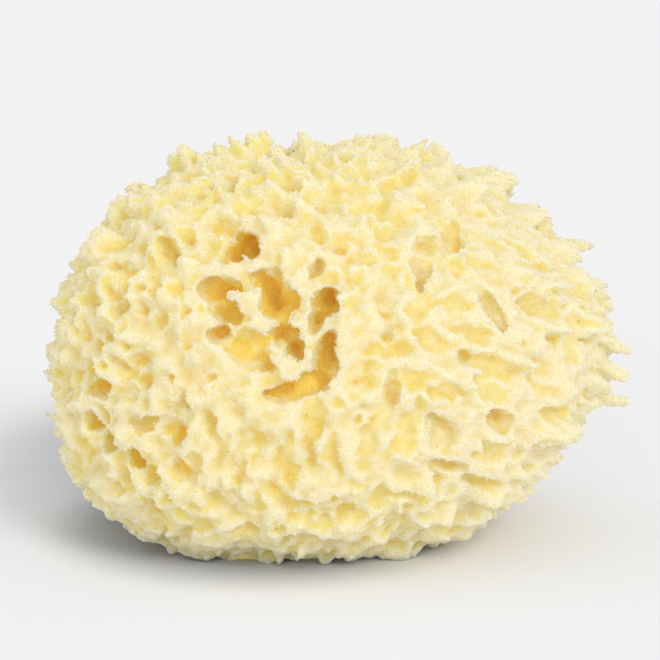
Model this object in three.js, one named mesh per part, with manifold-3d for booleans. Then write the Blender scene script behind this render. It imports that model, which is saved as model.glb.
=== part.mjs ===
// A natural sea sponge of the honeycomb kind, dried and trimmed for the bath.
//
// It grew as one body, so it is one solid: a lobed mass covered in pointed
// tufts, with a cluster of large pores on the face that looks along -Y, and a
// flat cut underneath, where it was taken off the rock.
//
// Millimetres, +Z up. The origin is at the middle of the flat cut.

import * as THREE from 'three';
import { mergeVertices } from 'three/addons/utils/BufferGeometryUtils.js';
import Module from 'manifold-3d';

const wasm = await Module();
wasm.setup();

// Driving dimensions: the sponge over its tufts.
const WIDTH = 130;
const DEPTH = 106;
const HEIGHT = 90;

// The mass under the tufts, measured from its heart. Each side has its own
// reach. Squareness shapes the outline: 2 is an ellipsoid and 3 is boxier.
const HEART_HEIGHT = 43;
const REACH = { left: 60, right: 57, front: 48, back: 48, up: 43, down: 46.5 };
const SQUARENESS = { left: 2.5, right: 2.0 };

// Broad swellings of the mass: where they point, how wide and how high.
const SWELLINGS = [
  { towards: [-0.7, -0.4, 0.6], spread: 0.35, rise: 2.0 },
  { towards: [-0.9, -0.2, -0.4], spread: 0.30, rise: 2.5 },
  { towards: [0.1, -0.9, -0.5], spread: 0.40, rise: 3.0 },
  { towards: [0.8, -0.5, -0.1], spread: 0.35, rise: 3.5 },
  { towards: [0.9, 0.4, 0.2], spread: 0.40, rise: 2.0 },
  { towards: [-0.4, 0.9, 0.3], spread: 0.45, rise: 4.0 },
  { towards: [0.5, 0.8, -0.4], spread: 0.40, rise: 3.5 },
  { towards: [-0.7, 0.6, -0.4], spread: 0.35, rise: 2.5 },
  { towards: [-0.2, -0.1, 1.0], spread: 0.40, rise: 1.5 },
  { towards: [0.35, 0, 0.9], spread: 0.35, rise: 4.5 },
  { towards: [-0.85, 0, 0.5], spread: 0.35, rise: -2.0 },
  { towards: [-0.45, 0, 0.85], spread: 0.28, rise: 2.8 },
  { towards: [0.85, -0.1, -0.5], spread: 0.28, rise: -5.0 },
  { towards: [0.55, -0.2, -0.8], spread: 0.30, rise: 2.5 },
];

// The tufts: pointed knobs all over, combed to one side on the right.
const SKIN_DETAIL = 15;
const TUFT_COUNT = 420;
const TUFT_HEIGHT = 4.6;
const TUFT_REACH = 7.0;
const TUFT_SHARPNESS = 1.4;
const COMB = new THREE.Vector3(0.9, 0, -0.35);

// A pore's wall, from its blind end to its mouth: distance along, share of the
// mouth's radius. It goes on past the mouth, so that it cuts through the tufts.
const PORE_PROFILE = [[0, 0], [0.08, 0.5], [0.4, 0.82], [1, 1]];
const PORE_SIDES = 10;
const PAST_MOUTH = 8;

// The large pores of the front face. Each has its place across and up, its
// width and height at the mouth, its turn in degrees and its depth.
const FRONT_PORES = [
  { x: -18.5, z: 69.0, wide: 6.6, tall: 6.4, turn: 0, deep: 12 },
  { x: -11.0, z: 60.5, wide: 8.5, tall: 12.5, turn: 14, deep: 13 },
  { x: -24.0, z: 60.0, wide: 10.0, tall: 8.0, turn: -35, deep: 12 },
  { x: -3.5, z: 65.0, wide: 2.6, tall: 4.4, turn: -30, deep: 6 },
  { x: -3.0, z: 57.5, wide: 5.0, tall: 8.0, turn: -18, deep: 12 },
  { x: -23.5, z: 52.5, wide: 4.4, tall: 3.4, turn: 0, deep: 7 },
  { x: -9.5, z: 51.5, wide: 6.0, tall: 7.5, turn: 25, deep: 13 },
  { x: -17.5, z: 49.5, wide: 9.0, tall: 7.5, turn: 0, deep: 8 },
  { x: -2.5, z: 48.0, wide: 5.4, tall: 11.0, turn: -6, deep: 11 },
  { x: -9.0, z: 42.0, wide: 11.0, tall: 4.6, turn: 6, deep: 10 },
  { x: 24.0, z: 70.5, wide: 5.0, tall: 8.6, turn: -20, deep: 10 },
  { x: 17.0, z: 65.0, wide: 3.4, tall: 9.0, turn: -40, deep: 7 },
  { x: 31.0, z: 57.0, wide: 3.6, tall: 15.0, turn: 32, deep: 6 },
  { x: 41.0, z: 56.0, wide: 8.6, tall: 4.2, turn: -12, deep: 7 },
  { x: 22.0, z: 31.5, wide: 5.0, tall: 6.0, turn: 0, deep: 11 },
  { x: 22.5, z: 24.5, wide: 7.0, tall: 4.0, turn: 0, deep: 9 },
  { x: 32.0, z: 34.0, wide: 4.0, tall: 6.0, turn: 25, deep: 8 },
  { x: 10.5, z: 42.0, wide: 3.8, tall: 10.5, turn: -8, deep: 6 },
  { x: -33.0, z: 30.5, wide: 4.2, tall: 5.2, turn: 0, deep: 8 },
  { x: -42.0, z: 24.5, wide: 4.4, tall: 5.4, turn: 10, deep: 8 },
  { x: -48.0, z: 28.5, wide: 4.6, tall: 5.6, turn: 0, deep: 8 },
  { x: -35.0, z: 68.0, wide: 4.6, tall: 9.0, turn: 30, deep: 7 },
  { x: -45.0, z: 56.5, wide: 4.4, tall: 4.6, turn: 0, deep: 6 },
];

// Fewer and smaller pores open on the other sides: towards, width and depth.
const OTHER_PORES = [
  { towards: [-0.5, 0.9, 0.4], wide: 8, deep: 15 },
  { towards: [-0.35, 0.9, 0.55], wide: 6, deep: 12 },
  { towards: [-0.62, 0.8, 0.2], wide: 5, deep: 11 },
  { towards: [0.3, 0.9, 0.1], wide: 6, deep: 12 },
  { towards: [0.6, 0.7, -0.3], wide: 5, deep: 10 },
  { towards: [0.1, 0.8, -0.5], wide: 5, deep: 10 },
  { towards: [0.85, 0.3, 0.35], wide: 6, deep: 12 },
  { towards: [-0.9, 0.25, 0.2], wide: 5, deep: 10 },
  { towards: [0.2, 0.3, 0.9], wide: 7, deep: 13 },
  { towards: [-0.25, -0.1, 1.0], wide: 5, deep: 10 },
  { towards: [0.55, -0.1, 0.8], wide: 5, deep: 10 },
];

const CUT_DEPTH = 20;
const COLOUR = 0xf4e2a4;
const ROUGHNESS = 0.95;

// A repeatable number from 0 to 1 for each whole number and each use.
function chance(index, use) {
  const wave = Math.sin(index * 127.1 + use * 311.7) * 43758.5453;
  return wave - Math.floor(wave);
}

// Distance from the heart to the mass's surface, in a direction of length 1.
function massRadius(direction) {
  const side = THREE.MathUtils.smoothstep(direction.x, -0.5, 0.5);
  const squareness = THREE.MathUtils.lerp(SQUARENESS.left, SQUARENESS.right, side);
  const reachX = direction.x < 0 ? REACH.left : REACH.right;
  const reachY = direction.y < 0 ? REACH.front : REACH.back;
  const reachZ = direction.z < 0 ? REACH.down : REACH.up;
  const sum = Math.abs(direction.x / reachX) ** squareness
    + Math.abs(direction.y / reachY) ** squareness
    + Math.abs(direction.z / reachZ) ** squareness;
  return sum ** (-1 / squareness) + swelling(direction);
}

function swelling(direction) {
  let rise = 0;
  for (const lump of SWELLINGS) {
    const angle = direction.angleTo(new THREE.Vector3(...lump.towards));
    rise += lump.rise * Math.exp(-((angle / lump.spread) ** 2) / 2);
  }
  return rise;
}

// Tuft tips, spread evenly over the mass on a spiral and then shaken.
function tuftTips() {
  const tips = [];
  const turn = Math.PI * (3 - Math.sqrt(5));
  const shake = 1.6 / Math.sqrt(TUFT_COUNT);
  for (let i = 0; i < TUFT_COUNT; i += 1) {
    const height = 1 - (2 * i + 1) / TUFT_COUNT;
    const ring = Math.sqrt(1 - height * height);
    const direction = new THREE.Vector3(
      ring * Math.cos(i * turn) + shake * (chance(i, 1) - 0.5),
      ring * Math.sin(i * turn) + shake * (chance(i, 2) - 0.5),
      height + shake * (chance(i, 3) - 0.5),
    ).normalize();
    const place = direction.clone().multiplyScalar(massRadius(direction));
    tips.push({ place, size: 0.7 + 0.6 * chance(i, 4) });
  }
  return tips;
}

// How far a point of the mass stands out as part of the nearest tuft.
function tuftRise(point, tips) {
  let rise = 0;
  for (const tip of tips) {
    const nearness = 1 - point.distanceTo(tip.place) / TUFT_REACH;
    if (nearness > 0) {
      rise = Math.max(rise, TUFT_HEIGHT * tip.size * nearness ** TUFT_SHARPNESS);
    }
  }
  return rise;
}

// The tufted mass as an even net of triangles, all its vertices shared.
function tuftedMass() {
  const net = new THREE.IcosahedronGeometry(1, SKIN_DETAIL);
  net.deleteAttribute('normal');
  net.deleteAttribute('uv');
  const skin = mergeVertices(net);
  const tips = tuftTips();
  const place = skin.attributes.position;
  for (let i = 0; i < place.count; i += 1) {
    const direction = new THREE.Vector3().fromBufferAttribute(place, i).normalize();
    const point = direction.clone().multiplyScalar(massRadius(direction));
    const rise = tuftRise(point, tips);
    const combed = THREE.MathUtils.smoothstep(direction.x, -0.1, 0.9);
    point.addScaledVector(direction, rise);
    point.addScaledVector(COMB, rise * combed);
    place.setXYZ(i, point.x, point.y, point.z);
  }
  return skin;
}

// Makes the tips just reach the stated width, depth and height. The part that
// the flat cut takes away stays below z = 0.
function fitToSize(skin) {
  skin.computeBoundingBox();
  const span = skin.boundingBox.getSize(new THREE.Vector3());
  const middle = skin.boundingBox.getCenter(new THREE.Vector3());
  const peak = HEART_HEIGHT + skin.boundingBox.max.z;
  skin.translate(-middle.x, -middle.y, HEART_HEIGHT);
  skin.scale(WIDTH / span.x, DEPTH / span.y, HEIGHT / peak);
  return skin;
}

// One blind pore along its own +Z, from its blind end out past its mouth.
function poreGeometry(wide, tall, deep) {
  const profile = PORE_PROFILE.map(([along, radius]) => new THREE.Vector2(radius, along * deep));
  profile.push(new THREE.Vector2(1.15, deep + PAST_MOUTH), new THREE.Vector2(0, deep + PAST_MOUTH));
  const pore = new THREE.LatheGeometry(profile, PORE_SIDES);
  pore.rotateX(Math.PI / 2);
  pore.scale(wide / 2, tall / 2, 1);
  return pore;
}

// Puts a pore in place, its mouth where a line from outside meets the skin.
function placedPore(skinMesh, from, aim, { wide, tall, turn, deep }) {
  const line = new THREE.Raycaster(from, aim);
  const hit = line.intersectObject(skinMesh)[0];
  const inwards = hit.face.normal.clone().negate().lerp(aim, 0.7).normalize();
  const pore = poreGeometry(wide, tall, deep);
  pore.rotateZ(THREE.MathUtils.degToRad(turn));
  const outwards = inwards.clone().negate();
  const across = new THREE.Vector3(0, 0, 1).cross(outwards).normalize();
  const upwards = outwards.clone().cross(across);
  pore.applyMatrix4(new THREE.Matrix4().makeBasis(across, upwards, outwards));
  const end = hit.point.clone().addScaledVector(inwards, deep);
  pore.translate(end.x, end.y, end.z);
  return pore;
}

function frontPore(skinMesh, pore) {
  const from = new THREE.Vector3(pore.x, -DEPTH, pore.z);
  return placedPore(skinMesh, from, new THREE.Vector3(0, 1, 0), pore);
}

function otherPore(skinMesh, { towards, wide, deep }) {
  const outwards = new THREE.Vector3(...towards).normalize();
  const heart = new THREE.Vector3(0, 0, HEART_HEIGHT);
  const from = heart.addScaledVector(outwards, WIDTH);
  return placedPore(skinMesh, from, outwards.negate(), { wide, tall: wide, turn: 0, deep });
}

// A block under z = 0, which takes away what was left on the rock.
function rockCut() {
  const cut = new THREE.BoxGeometry(2 * WIDTH, 2 * DEPTH, CUT_DEPTH);
  cut.translate(0, 0, -CUT_DEPTH / 2);
  return cut;
}

function toSolid(geometry) {
  geometry.deleteAttribute('normal');
  geometry.deleteAttribute('uv');
  const merged = mergeVertices(geometry, 1e-4);
  return new wasm.Manifold(new wasm.Mesh({
    numProp: 3,
    vertProperties: Float32Array.from(merged.attributes.position.array),
    triVerts: Uint32Array.from(merged.index.array),
  }));
}

function toGeometry(solid) {
  const { vertProperties, triVerts } = solid.getMesh();
  const geometry = new THREE.BufferGeometry();
  geometry.setAttribute('position', new THREE.BufferAttribute(vertProperties, 3));
  geometry.setIndex(new THREE.BufferAttribute(triVerts, 1));
  geometry.computeVertexNormals();
  return geometry;
}

// The cuts may free a crumb between two pores: only the sponge itself is kept.
function largestPiece(solid) {
  return solid.decompose().sort((a, b) => b.volume() - a.volume())[0];
}

function sponge() {
  const skin = fitToSize(tuftedMass());
  const skinMesh = new THREE.Mesh(skin, new THREE.MeshBasicMaterial({ side: THREE.DoubleSide }));
  const pores = [
    ...FRONT_PORES.map((pore) => frontPore(skinMesh, pore)),
    ...OTHER_PORES.map((pore) => otherPore(skinMesh, pore)),
  ];
  let solid = toSolid(skin).subtract(toSolid(rockCut()));
  for (const pore of pores) {
    solid = solid.subtract(toSolid(pore));
  }
  const material = new THREE.MeshStandardMaterial({
    color: COLOUR,
    roughness: ROUGHNESS,
    metalness: 0,
  });
  const mesh = new THREE.Mesh(toGeometry(largestPiece(solid)), material);
  mesh.name = 'sponge';
  return mesh;
}

const group = new THREE.Group();
group.add(sponge());

export default group;
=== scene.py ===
# %% [markdown]
# # A sea sponge
#
# A natural honeycomb sponge, dried and trimmed for the bath. It grew as one body: a soft, lobed mass
# whose skin is a net of pits and frayed ridges, with pointed tufts that are combed over to one side,
# and a cluster of wide canals that open in front. This lesson grows it from the coarse to the fine:
# the mass, the skin with its tufts, the flat cut underneath, the canals, the frays and the colour.

# %% The frame
import math

import bpy
import numpy as np
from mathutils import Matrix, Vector
from mathutils.bvhtree import BVHTree


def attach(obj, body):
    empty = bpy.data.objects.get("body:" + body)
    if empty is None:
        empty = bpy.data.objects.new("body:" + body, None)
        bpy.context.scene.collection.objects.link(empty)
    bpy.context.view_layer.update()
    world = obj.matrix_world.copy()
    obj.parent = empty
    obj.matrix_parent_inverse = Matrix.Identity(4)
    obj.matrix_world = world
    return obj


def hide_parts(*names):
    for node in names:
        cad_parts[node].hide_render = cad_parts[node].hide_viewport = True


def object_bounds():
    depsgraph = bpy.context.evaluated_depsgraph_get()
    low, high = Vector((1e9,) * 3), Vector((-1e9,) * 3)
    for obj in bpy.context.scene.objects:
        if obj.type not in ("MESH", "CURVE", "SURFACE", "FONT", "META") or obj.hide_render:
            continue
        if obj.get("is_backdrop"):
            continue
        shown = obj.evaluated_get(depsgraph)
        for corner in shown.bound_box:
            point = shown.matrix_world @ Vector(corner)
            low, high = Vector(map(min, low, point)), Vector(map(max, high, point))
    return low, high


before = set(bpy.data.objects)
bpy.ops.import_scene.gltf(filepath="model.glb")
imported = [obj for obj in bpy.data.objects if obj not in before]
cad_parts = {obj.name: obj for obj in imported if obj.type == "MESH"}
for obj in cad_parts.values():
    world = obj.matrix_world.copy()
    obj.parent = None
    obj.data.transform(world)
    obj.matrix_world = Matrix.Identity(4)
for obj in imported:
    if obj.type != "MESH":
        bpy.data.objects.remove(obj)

MM = 0.001
cad_low, cad_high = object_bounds()
cad_size = cad_high - cad_low
print("The frame measures, in mm:", [round(side / MM, 1) for side in cad_size])

# %% [markdown]
# ## Camera
#
# A sponge looks flat through a wide lens held close and squat through one held high. A long lens from
# a little above keeps the outline true and still shows that the top is round. The camera is placed by
# its aim, its height in degrees and the width that it takes in, so it can be changed one thing at a
# time.

# %% Camera
LENS = 120.0
VIEW_WIDTH = 146.7 * MM
VIEW_HEIGHT_DEG = 10.0
AIM_SHIFT = Vector((-1.6, 0.0, 0.1)) * MM

camera_data = bpy.data.cameras.new("camera")
camera_data.lens = LENS
camera = bpy.data.objects.new("camera", camera_data)
bpy.context.scene.collection.objects.link(camera)
bpy.context.scene.camera = camera

aim = (cad_low + cad_high) / 2 + AIM_SHIFT
rise = math.radians(VIEW_HEIGHT_DEG)
distance = VIEW_WIDTH * LENS / camera_data.sensor_width
camera.location = aim + Vector((0.0, -math.cos(rise), math.sin(rise))) * distance
camera.rotation_euler = (math.pi / 2 - rise, 0.0, 0.0)
print("The camera stands off, in mm:", round(distance / MM))

# %% [markdown]
# ## Small tools
#
# A few helpers serve the whole lesson. One applies a modifier, as the Apply button does. Two others
# read a mesh's points as rows of numbers and write them back. Rows of numbers are quick to bend all
# at once, which is the nearest that a script comes to a sculpting brush.

# %% Small tools
def deselect_all():
    bpy.ops.object.select_all(action="DESELECT")


def pick(piece):
    deselect_all()
    piece.select_set(True)
    bpy.context.view_layer.objects.active = piece


def finish_with(piece, kind, **settings):
    """Adds one modifier, applies it, and says how many points the piece has after it."""
    pick(piece)
    modifier = piece.modifiers.new(kind.lower(), kind)
    for name, value in settings.items():
        setattr(modifier, name, value)
    bpy.ops.object.modifier_apply(modifier=modifier.name)
    print(piece.name, kind.lower(), "leaves", len(piece.data.vertices), "points")


def points_of(piece):
    """The piece's points in mm, one row each."""
    flat = np.empty(len(piece.data.vertices) * 3)
    piece.data.vertices.foreach_get("co", flat)
    return flat.reshape(-1, 3) / MM


def move_points(piece, points):
    piece.data.vertices.foreach_set("co", (points * MM).reshape(-1))
    piece.data.update()


def triangles_of(piece):
    return sum(len(face.vertices) - 2 for face in piece.data.polygons)

# %% [markdown]
# ## The mass
#
# Under its tufts a sponge is a rounded block that stopped growing where it met its neighbours. A
# sphere pushed out to a superellipsoid gives that shape: each side gets its own reach, and a power
# above 2 makes the left end boxier than the right. A few broad swellings then take away the look of
# something turned on a lathe. An ico sphere is used because its triangles are all alike, so nothing
# pinches at a pole.

# %% The mass
HEART_HEIGHT = 43.0
REACH_LEFT = 60.0
REACH_RIGHT = 57.0
REACH_DEEP = 48.0
REACH_UP = 43.0
REACH_DOWN = 46.5
SQUARENESS_LEFT = 2.5
SQUARENESS_RIGHT = 2.0
MASS_SUBDIVISIONS = 7

# Where each swelling points, how wide it is in radians and how high in mm.
SWELLINGS = [
    ((-0.7, -0.4, 0.6), 0.35, 2.0),
    ((-0.9, -0.2, -0.4), 0.30, 2.5),
    ((0.1, -0.9, -0.5), 0.40, 3.0),
    ((0.8, -0.5, -0.1), 0.35, 3.5),
    ((0.9, 0.4, 0.2), 0.40, 2.0),
    ((-0.4, 0.9, 0.3), 0.45, 4.0),
    ((0.5, 0.8, -0.4), 0.40, 3.5),
    ((-0.7, 0.6, -0.4), 0.35, 2.5),
    ((-0.2, -0.1, 1.0), 0.40, 1.5),
    ((0.35, 0.0, 0.90), 0.35, 4.5),
    ((-0.85, 0.0, 0.5), 0.35, -1.5),
    ((-0.45, 0.0, 0.85), 0.28, 3.4),
    ((0.85, -0.1, -0.50), 0.28, -5.0),
    ((0.55, -0.2, -0.80), 0.30, 2.0),
    ((-0.45, -0.35, -0.8), 0.30, 3.0),
]


def smooth_step(value):
    value = np.clip(value, 0.0, 1.0)
    return value * value * (3 - 2 * value)


def mass_radius(ways):
    """How far the mass reaches from its heart in each direction."""
    x, y, z = ways.T
    side = smooth_step(x + 0.5)
    power = SQUARENESS_LEFT + (SQUARENESS_RIGHT - SQUARENESS_LEFT) * side
    reach_x = np.where(x < 0, REACH_LEFT, REACH_RIGHT)
    reach_z = np.where(z < 0, REACH_DOWN, REACH_UP)
    total = np.abs(x / reach_x) ** power
    total += np.abs(y / REACH_DEEP) ** power
    total += np.abs(z / reach_z) ** power
    radius = total ** (-1 / power)
    for towards, spread, height in SWELLINGS:
        middle = np.array(towards) / np.linalg.norm(towards)
        angle = np.arccos(np.clip(ways @ middle, -1, 1))
        radius += height * np.exp(-((angle / spread) ** 2) / 2)
    return radius


deselect_all()
bpy.ops.mesh.primitive_ico_sphere_add(subdivisions=MASS_SUBDIVISIONS, radius=1.0)
body = bpy.context.object
body.name = "sponge_body"
ways = points_of(body)
ways /= np.linalg.norm(ways, axis=1)[:, None]
mass = ways * mass_radius(ways)[:, None]
mass[:, 2] += HEART_HEIGHT
move_points(body, mass)
hull = body.copy()
hull.data = body.data.copy()
hull.name = "hull"
bpy.context.scene.collection.objects.link(hull)
print("The mass measures, in mm:", (mass.max(0) - mass.min(0)).round(1))

# %% [markdown]
# ## Writing nodes
#
# The pits, ridges and tufts are a height that depends on the place, and so is the colour later.
# Blender can work both out with the same nodes: a Geometry Nodes tree moves the points, and a
# material's tree paints them. This small class writes either kind of tree, so that a field reads like
# a line of sums.

# %% Writing nodes
class Sheet:
    """Writes the nodes of one tree."""

    def __init__(self, tree):
        self.tree = tree

    def node(self, kind, inputs=None, out=0, **settings):
        made = self.tree.nodes.new(kind)
        for name, value in settings.items():
            setattr(made, name, value)
        for key, value in (inputs or {}).items():
            if isinstance(value, bpy.types.NodeSocket):
                self.tree.links.new(value, live(made.inputs, key))
            else:
                live(made.inputs, key).default_value = value
        return live(made.outputs, out)

    def maths(self, what, a, b=0.0):
        return self.node("ShaderNodeMath", {0: a, 1: b}, operation=what)

    def plus(self, *parts):
        total = parts[0]
        for part in parts[1:]:
            total = self.maths("ADD", total, part)
        return total

    def times(self, *parts):
        product = parts[0]
        for part in parts[1:]:
            product = self.maths("MULTIPLY", product, part)
        return product

    def less(self, a, b):
        return self.maths("SUBTRACT", a, b)

    def vector(self, what, a, b=(0.0, 0.0, 0.0), out=0):
        return self.node("ShaderNodeVectorMath", {0: a, 1: b}, out, operation=what)

    def scaled(self, vector, by):
        return self.node("ShaderNodeVectorMath", {0: vector, "Scale": by}, 0, operation="SCALE")

    def fade(self, value, start, end, low=0.0, high=1.0):
        """Goes softly from low to high as the value goes from start to end."""
        ends = {0: value, 1: start, 2: end, 3: low, 4: high}
        return self.node("ShaderNodeMapRange", ends, interpolation_type="SMOOTHSTEP")

    def noise(self, place, size, detail=1.0, out="Fac", rough=0.5):
        """Cloudy noise whose lumps are about the given size in mm."""
        values = {"Vector": place, "Scale": 1 / size, "Detail": detail, "Roughness": rough}
        return self.node("ShaderNodeTexNoise", values, out)

    def cells(self, place, size, feature="F1"):
        """Distance to the nearest point of a scatter, in cells of about the given size."""
        values = {"Vector": place, "Scale": 1 / size}
        return self.node("ShaderNodeTexVoronoi", values, "Distance", feature=feature)

    def wall(self, place, size):
        """0 on the wall between two cells, growing towards their middles."""
        return self.less(self.cells(place, size, "F2"), self.cells(place, size))

    def wobble(self, place, size, reach, detail=1.0):
        """A shake of the place, so that straight walls and round cells turn irregular."""
        cloud = self.noise(place, size, detail, "Color")
        return self.scaled(self.vector("SUBTRACT", cloud, (0.5, 0.5, 0.5)), reach)

    def stored(self, shape, name, value, kind="FLOAT"):
        """Stores a value on every point of the shape, under a name."""
        inputs = {"Geometry": shape, "Name": name, "Value": value}
        storing = {"data_type": kind, "domain": "POINT"}
        return self.node("GeometryNodeStoreNamedAttribute", inputs, "Geometry", **storing)

    def read(self, name, kind="FLOAT"):
        """Reads back what was stored under the name."""
        return self.node("GeometryNodeInputNamedAttribute", {"Name": name}, "Attribute", data_type=kind)

    def mixed(self, share, a, b):
        """Goes from colour a to colour b as the share goes from 0 to 1."""
        inputs = {"Factor": share, "A": a, "B": b}
        return self.node("ShaderNodeMix", inputs, "Result", data_type="RGBA")


def live(sockets, key):
    """A socket by its number, or by its name among those that the node uses just now."""
    if isinstance(key, int):
        return sockets[key]
    return [socket for socket in sockets if socket.enabled and socket.name == key][0]


def shape_sheet(name):
    """A new Geometry Nodes tree and the shape that comes into it."""
    tree = bpy.data.node_groups.new(name, "GeometryNodeTree")
    tree.interface.new_socket("Geometry", in_out="INPUT", socket_type="NodeSocketGeometry")
    tree.interface.new_socket("Geometry", in_out="OUTPUT", socket_type="NodeSocketGeometry")
    sheet = Sheet(tree)
    return sheet, sheet.node("NodeGroupInput", out="Geometry")


def shape_with(piece, sheet, geometry):
    """Sends the finished shape out of the tree and applies the tree to the piece."""
    way_out = sheet.tree.nodes.new("NodeGroupOutput")
    sheet.tree.links.new(geometry, way_out.inputs[0])
    finish_with(piece, "NODES", node_group=sheet.tree)

# %% [markdown]
# ## The honeycomb
#
# The skin is a honeycomb at two levels: pale crests on top, with ragged coasts, and yellow pits and
# channels between them. Its pattern comes from the walls between scattered cells. The place is shaken
# first, so that nothing is straight, and drawn out: into upright columns low on the left, and on the
# right into long flames that are combed over. The same function serves the shape here and the colour
# later, so a pale crest always stands where the mesh stands up. Around the canals in front the skin
# is calmer, with fewer pits.

# %% The honeycomb
COMB = (0.93, 0.0, -0.36)
COMB_FROM = -10.0
COMB_TO = 42.0
COMB_STRETCH = 0.58
COLUMN_STRETCH = 0.60
PIT_SPACING = 5.6
COLUMNS_FROM = 54.0
COLUMNS_TO = 28.0
# Each shake has the size of its lumps and how far it moves a place, in mm.
SHAKES = [(10.0, 5.0), (4.2, 2.8), (1.9, 1.6), (0.95, 1.0)]
COAST_LUMP = 5.0
COAST_ROUGHNESS = 1.7
PIT_EDGE = 0.33
CREST_EDGE = 0.13
CALM_MIDDLE = (-13.0, 0.0, 56.0)
CALM_FROM = 24.0
CALM_TO = 14.0
CALM_BACK = -5.0
CALM_FRONT = -20.0
CALM_RAISE = 0.20
COMB_RAISE = 0.07


def honeycomb(s, place):
    """What the pattern says of a place on the mass.

    It gives how far the place is combed, its height, its place in the pattern, how far it lies from
    the middle of a crest, how much crest it is and how calm it is.
    """
    across = s.node("ShaderNodeSeparateXYZ", {0: place}, "X")
    up = s.node("ShaderNodeSeparateXYZ", {0: place}, "Z")
    combed = s.fade(across, COMB_FROM, COMB_TO)
    shaken = place
    for size, reach in SHAKES:
        shaken = s.vector("ADD", shaken, s.wobble(place, size, reach))
    along = s.vector("DOT_PRODUCT", shaken, COMB, "Value")
    drawn = s.vector("SUBTRACT", shaken, s.scaled(COMB, s.times(along, combed, COMB_STRETCH)))
    columns = s.times(s.fade(up, COLUMNS_FROM, COLUMNS_TO), s.less(1.0, combed), COLUMN_STRETCH)
    under_heart = s.times(s.less(up, HEART_HEIGHT), columns)
    drawn = s.vector("SUBTRACT", drawn, s.scaled((0.0, 0.0, 1.0), under_heart))
    lumps = s.times(s.less(s.noise(drawn, COAST_LUMP), 0.5), COAST_ROUGHNESS)
    beside = s.vector("MULTIPLY", s.vector("SUBTRACT", place, CALM_MIDDLE), (1.0, 0.0, 1.0))
    calm = s.fade(s.vector("LENGTH", beside, out="Value"), CALM_FROM, CALM_TO)
    back = s.node("ShaderNodeSeparateXYZ", {0: place}, "Y")
    calm = s.times(calm, s.fade(back, CALM_BACK, CALM_FRONT))
    raised = s.plus(s.times(calm, CALM_RAISE), s.times(combed, COMB_RAISE))
    coast = s.less(s.plus(s.wall(drawn, PIT_SPACING), lumps), raised)
    crest = s.fade(coast, PIT_EDGE, CREST_EDGE)
    return combed, up, drawn, coast, crest, calm

# %% [markdown]
# ## Pits, crests and tufts
#
# Here the honeycomb becomes a height over the mass, in mm, built up from the coarse to the fine. The
# offset leans as it rises, which gives the overhangs that a plain height can't have. The mass gets a
# fine even mesh first. Each point remembers its place on the mass as `rest`, for the colour.

# %% Pits, crests and tufts
MASS_VOXEL = 0.42
MASS_SMOOTHING = 0.5
MASS_SMOOTH_ROUNDS = 4
TUFT_SPACING = 6.4
SIDE_LEAN = (-0.40, 0.0, 0.34)
COMB_LEAN = (0.95, 0.0, -0.38)
ALONG_SKIN = 0.7

# Shifts that make each cloud and scatter its own, so that they don't rise and fall together.
DEPTH_SHIFT = (40.0, 3.0, 9.0)
HOLE_SHIFT = (7.0, 3.0, 1.0)
HOLE_PATCH_SHIFT = (4.0, 31.0, 9.0)
DENT_SHIFT = (14.0, 1.0, 29.0)
CONE_SHIFT = (31.7, 12.1, 5.3)

# Heights up the sponge, in mm: where the top's taller tufts start, and where the lower part starts.
TOP_FROM = 56.0
TOP_TO = 84.0
LOWER_FROM = 42.0
LOWER_TO = 18.0

# Sizes of lumps and cells, in mm.
DEPTH_PATCH = 9.0
HOLE_SPACING = 3.1
HOLE_PATCH = 6.0
DENT_PATCH = 8.5
LUCK_PATCH = 6.0
SWELL_SIZE = 4.2
TOOTH_SHAKE = 1.5
TOOTH_SPACING = 2.2
FIBRE_SIZE = 2.0
GRAIN_SIZE = 1.0
FINE_DETAIL = 2.0
FINE_ROUGH = 0.6

# Heights in mm.
SHALLOW_PIT = 0.9
DEEP_PIT = 2.6
HOLE_DEPTH = 1.0
DENT_DEPTH = 2.4
TUFT_HEIGHT = 0.9
TOP_TUFT_EXTRA = 1.5
COMBED_TUFT_EXTRA = 2.0
LOWER_TUFT_LESS = 0.1
LEAST_LUCK = 0.3
MOST_LUCK = 1.4
LEAST_SWELL = -0.2
MOST_SWELL = 1.0
TOOTH_REACH = 1.6

# How strong a feature is in a pit, and how much stronger it gets on a crest.
TUFT_STRENGTH = (0.3, 0.7)
TOOTH_STRENGTH = (0.15, 0.6)
GRAIN_STRENGTH = (0.4, 1.1)
FIBRE_STRENGTH = 0.8
COMBED_TEETH_LESS = 0.55

# Where each cloud starts to count and where it counts in full, from 0 to 1.
DEPTH_CLOUD = (0.32, 0.66)
HOLE_CLOUD = (0.52, 0.62)
DENT_CLOUD = (0.44, 0.60)
LUCK_CLOUD = (0.32, 0.68)
SWELL_CLOUD = (0.36, 0.66)
# A pit's floor falls from the coast to its middle: where that starts and ends, and how deep it is there.
FLOOR_FALL = (0.2, 0.8, 0.65, 1.0)
# The edge and the flat top or floor of a cell, counted from its middle.
HOLE_ROUND = (0.30, 0.16)
CONE_ROUND = (0.56, 0.22)

# How much shallower pits are where the skin is calm, on top, where it is combed, and low down.
CALM_FILL = 0.35
TOP_FILL = 0.35
COMBED_FILL = 0.35
LOWER_FILL = 0.05

# How far each feature leans for every mm of its height.
PIT_LEAN = 0.38
SWELL_LEAN = 0.6
TOOTH_LEAN = 0.4

finish_with(body, "REMESH", mode="VOXEL", voxel_size=MASS_VOXEL * MM)
finish_with(body, "SMOOTH", factor=MASS_SMOOTHING, iterations=MASS_SMOOTH_ROUNDS)
skin_sheet, skin_in = shape_sheet("tufts")
s = skin_sheet
place = s.scaled(s.node("GeometryNodeInputPosition"), 1 / MM)
outwards = s.node("GeometryNodeInputNormal")
combed, up, drawn, coast, crest, calm = honeycomb(s, place)

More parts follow.
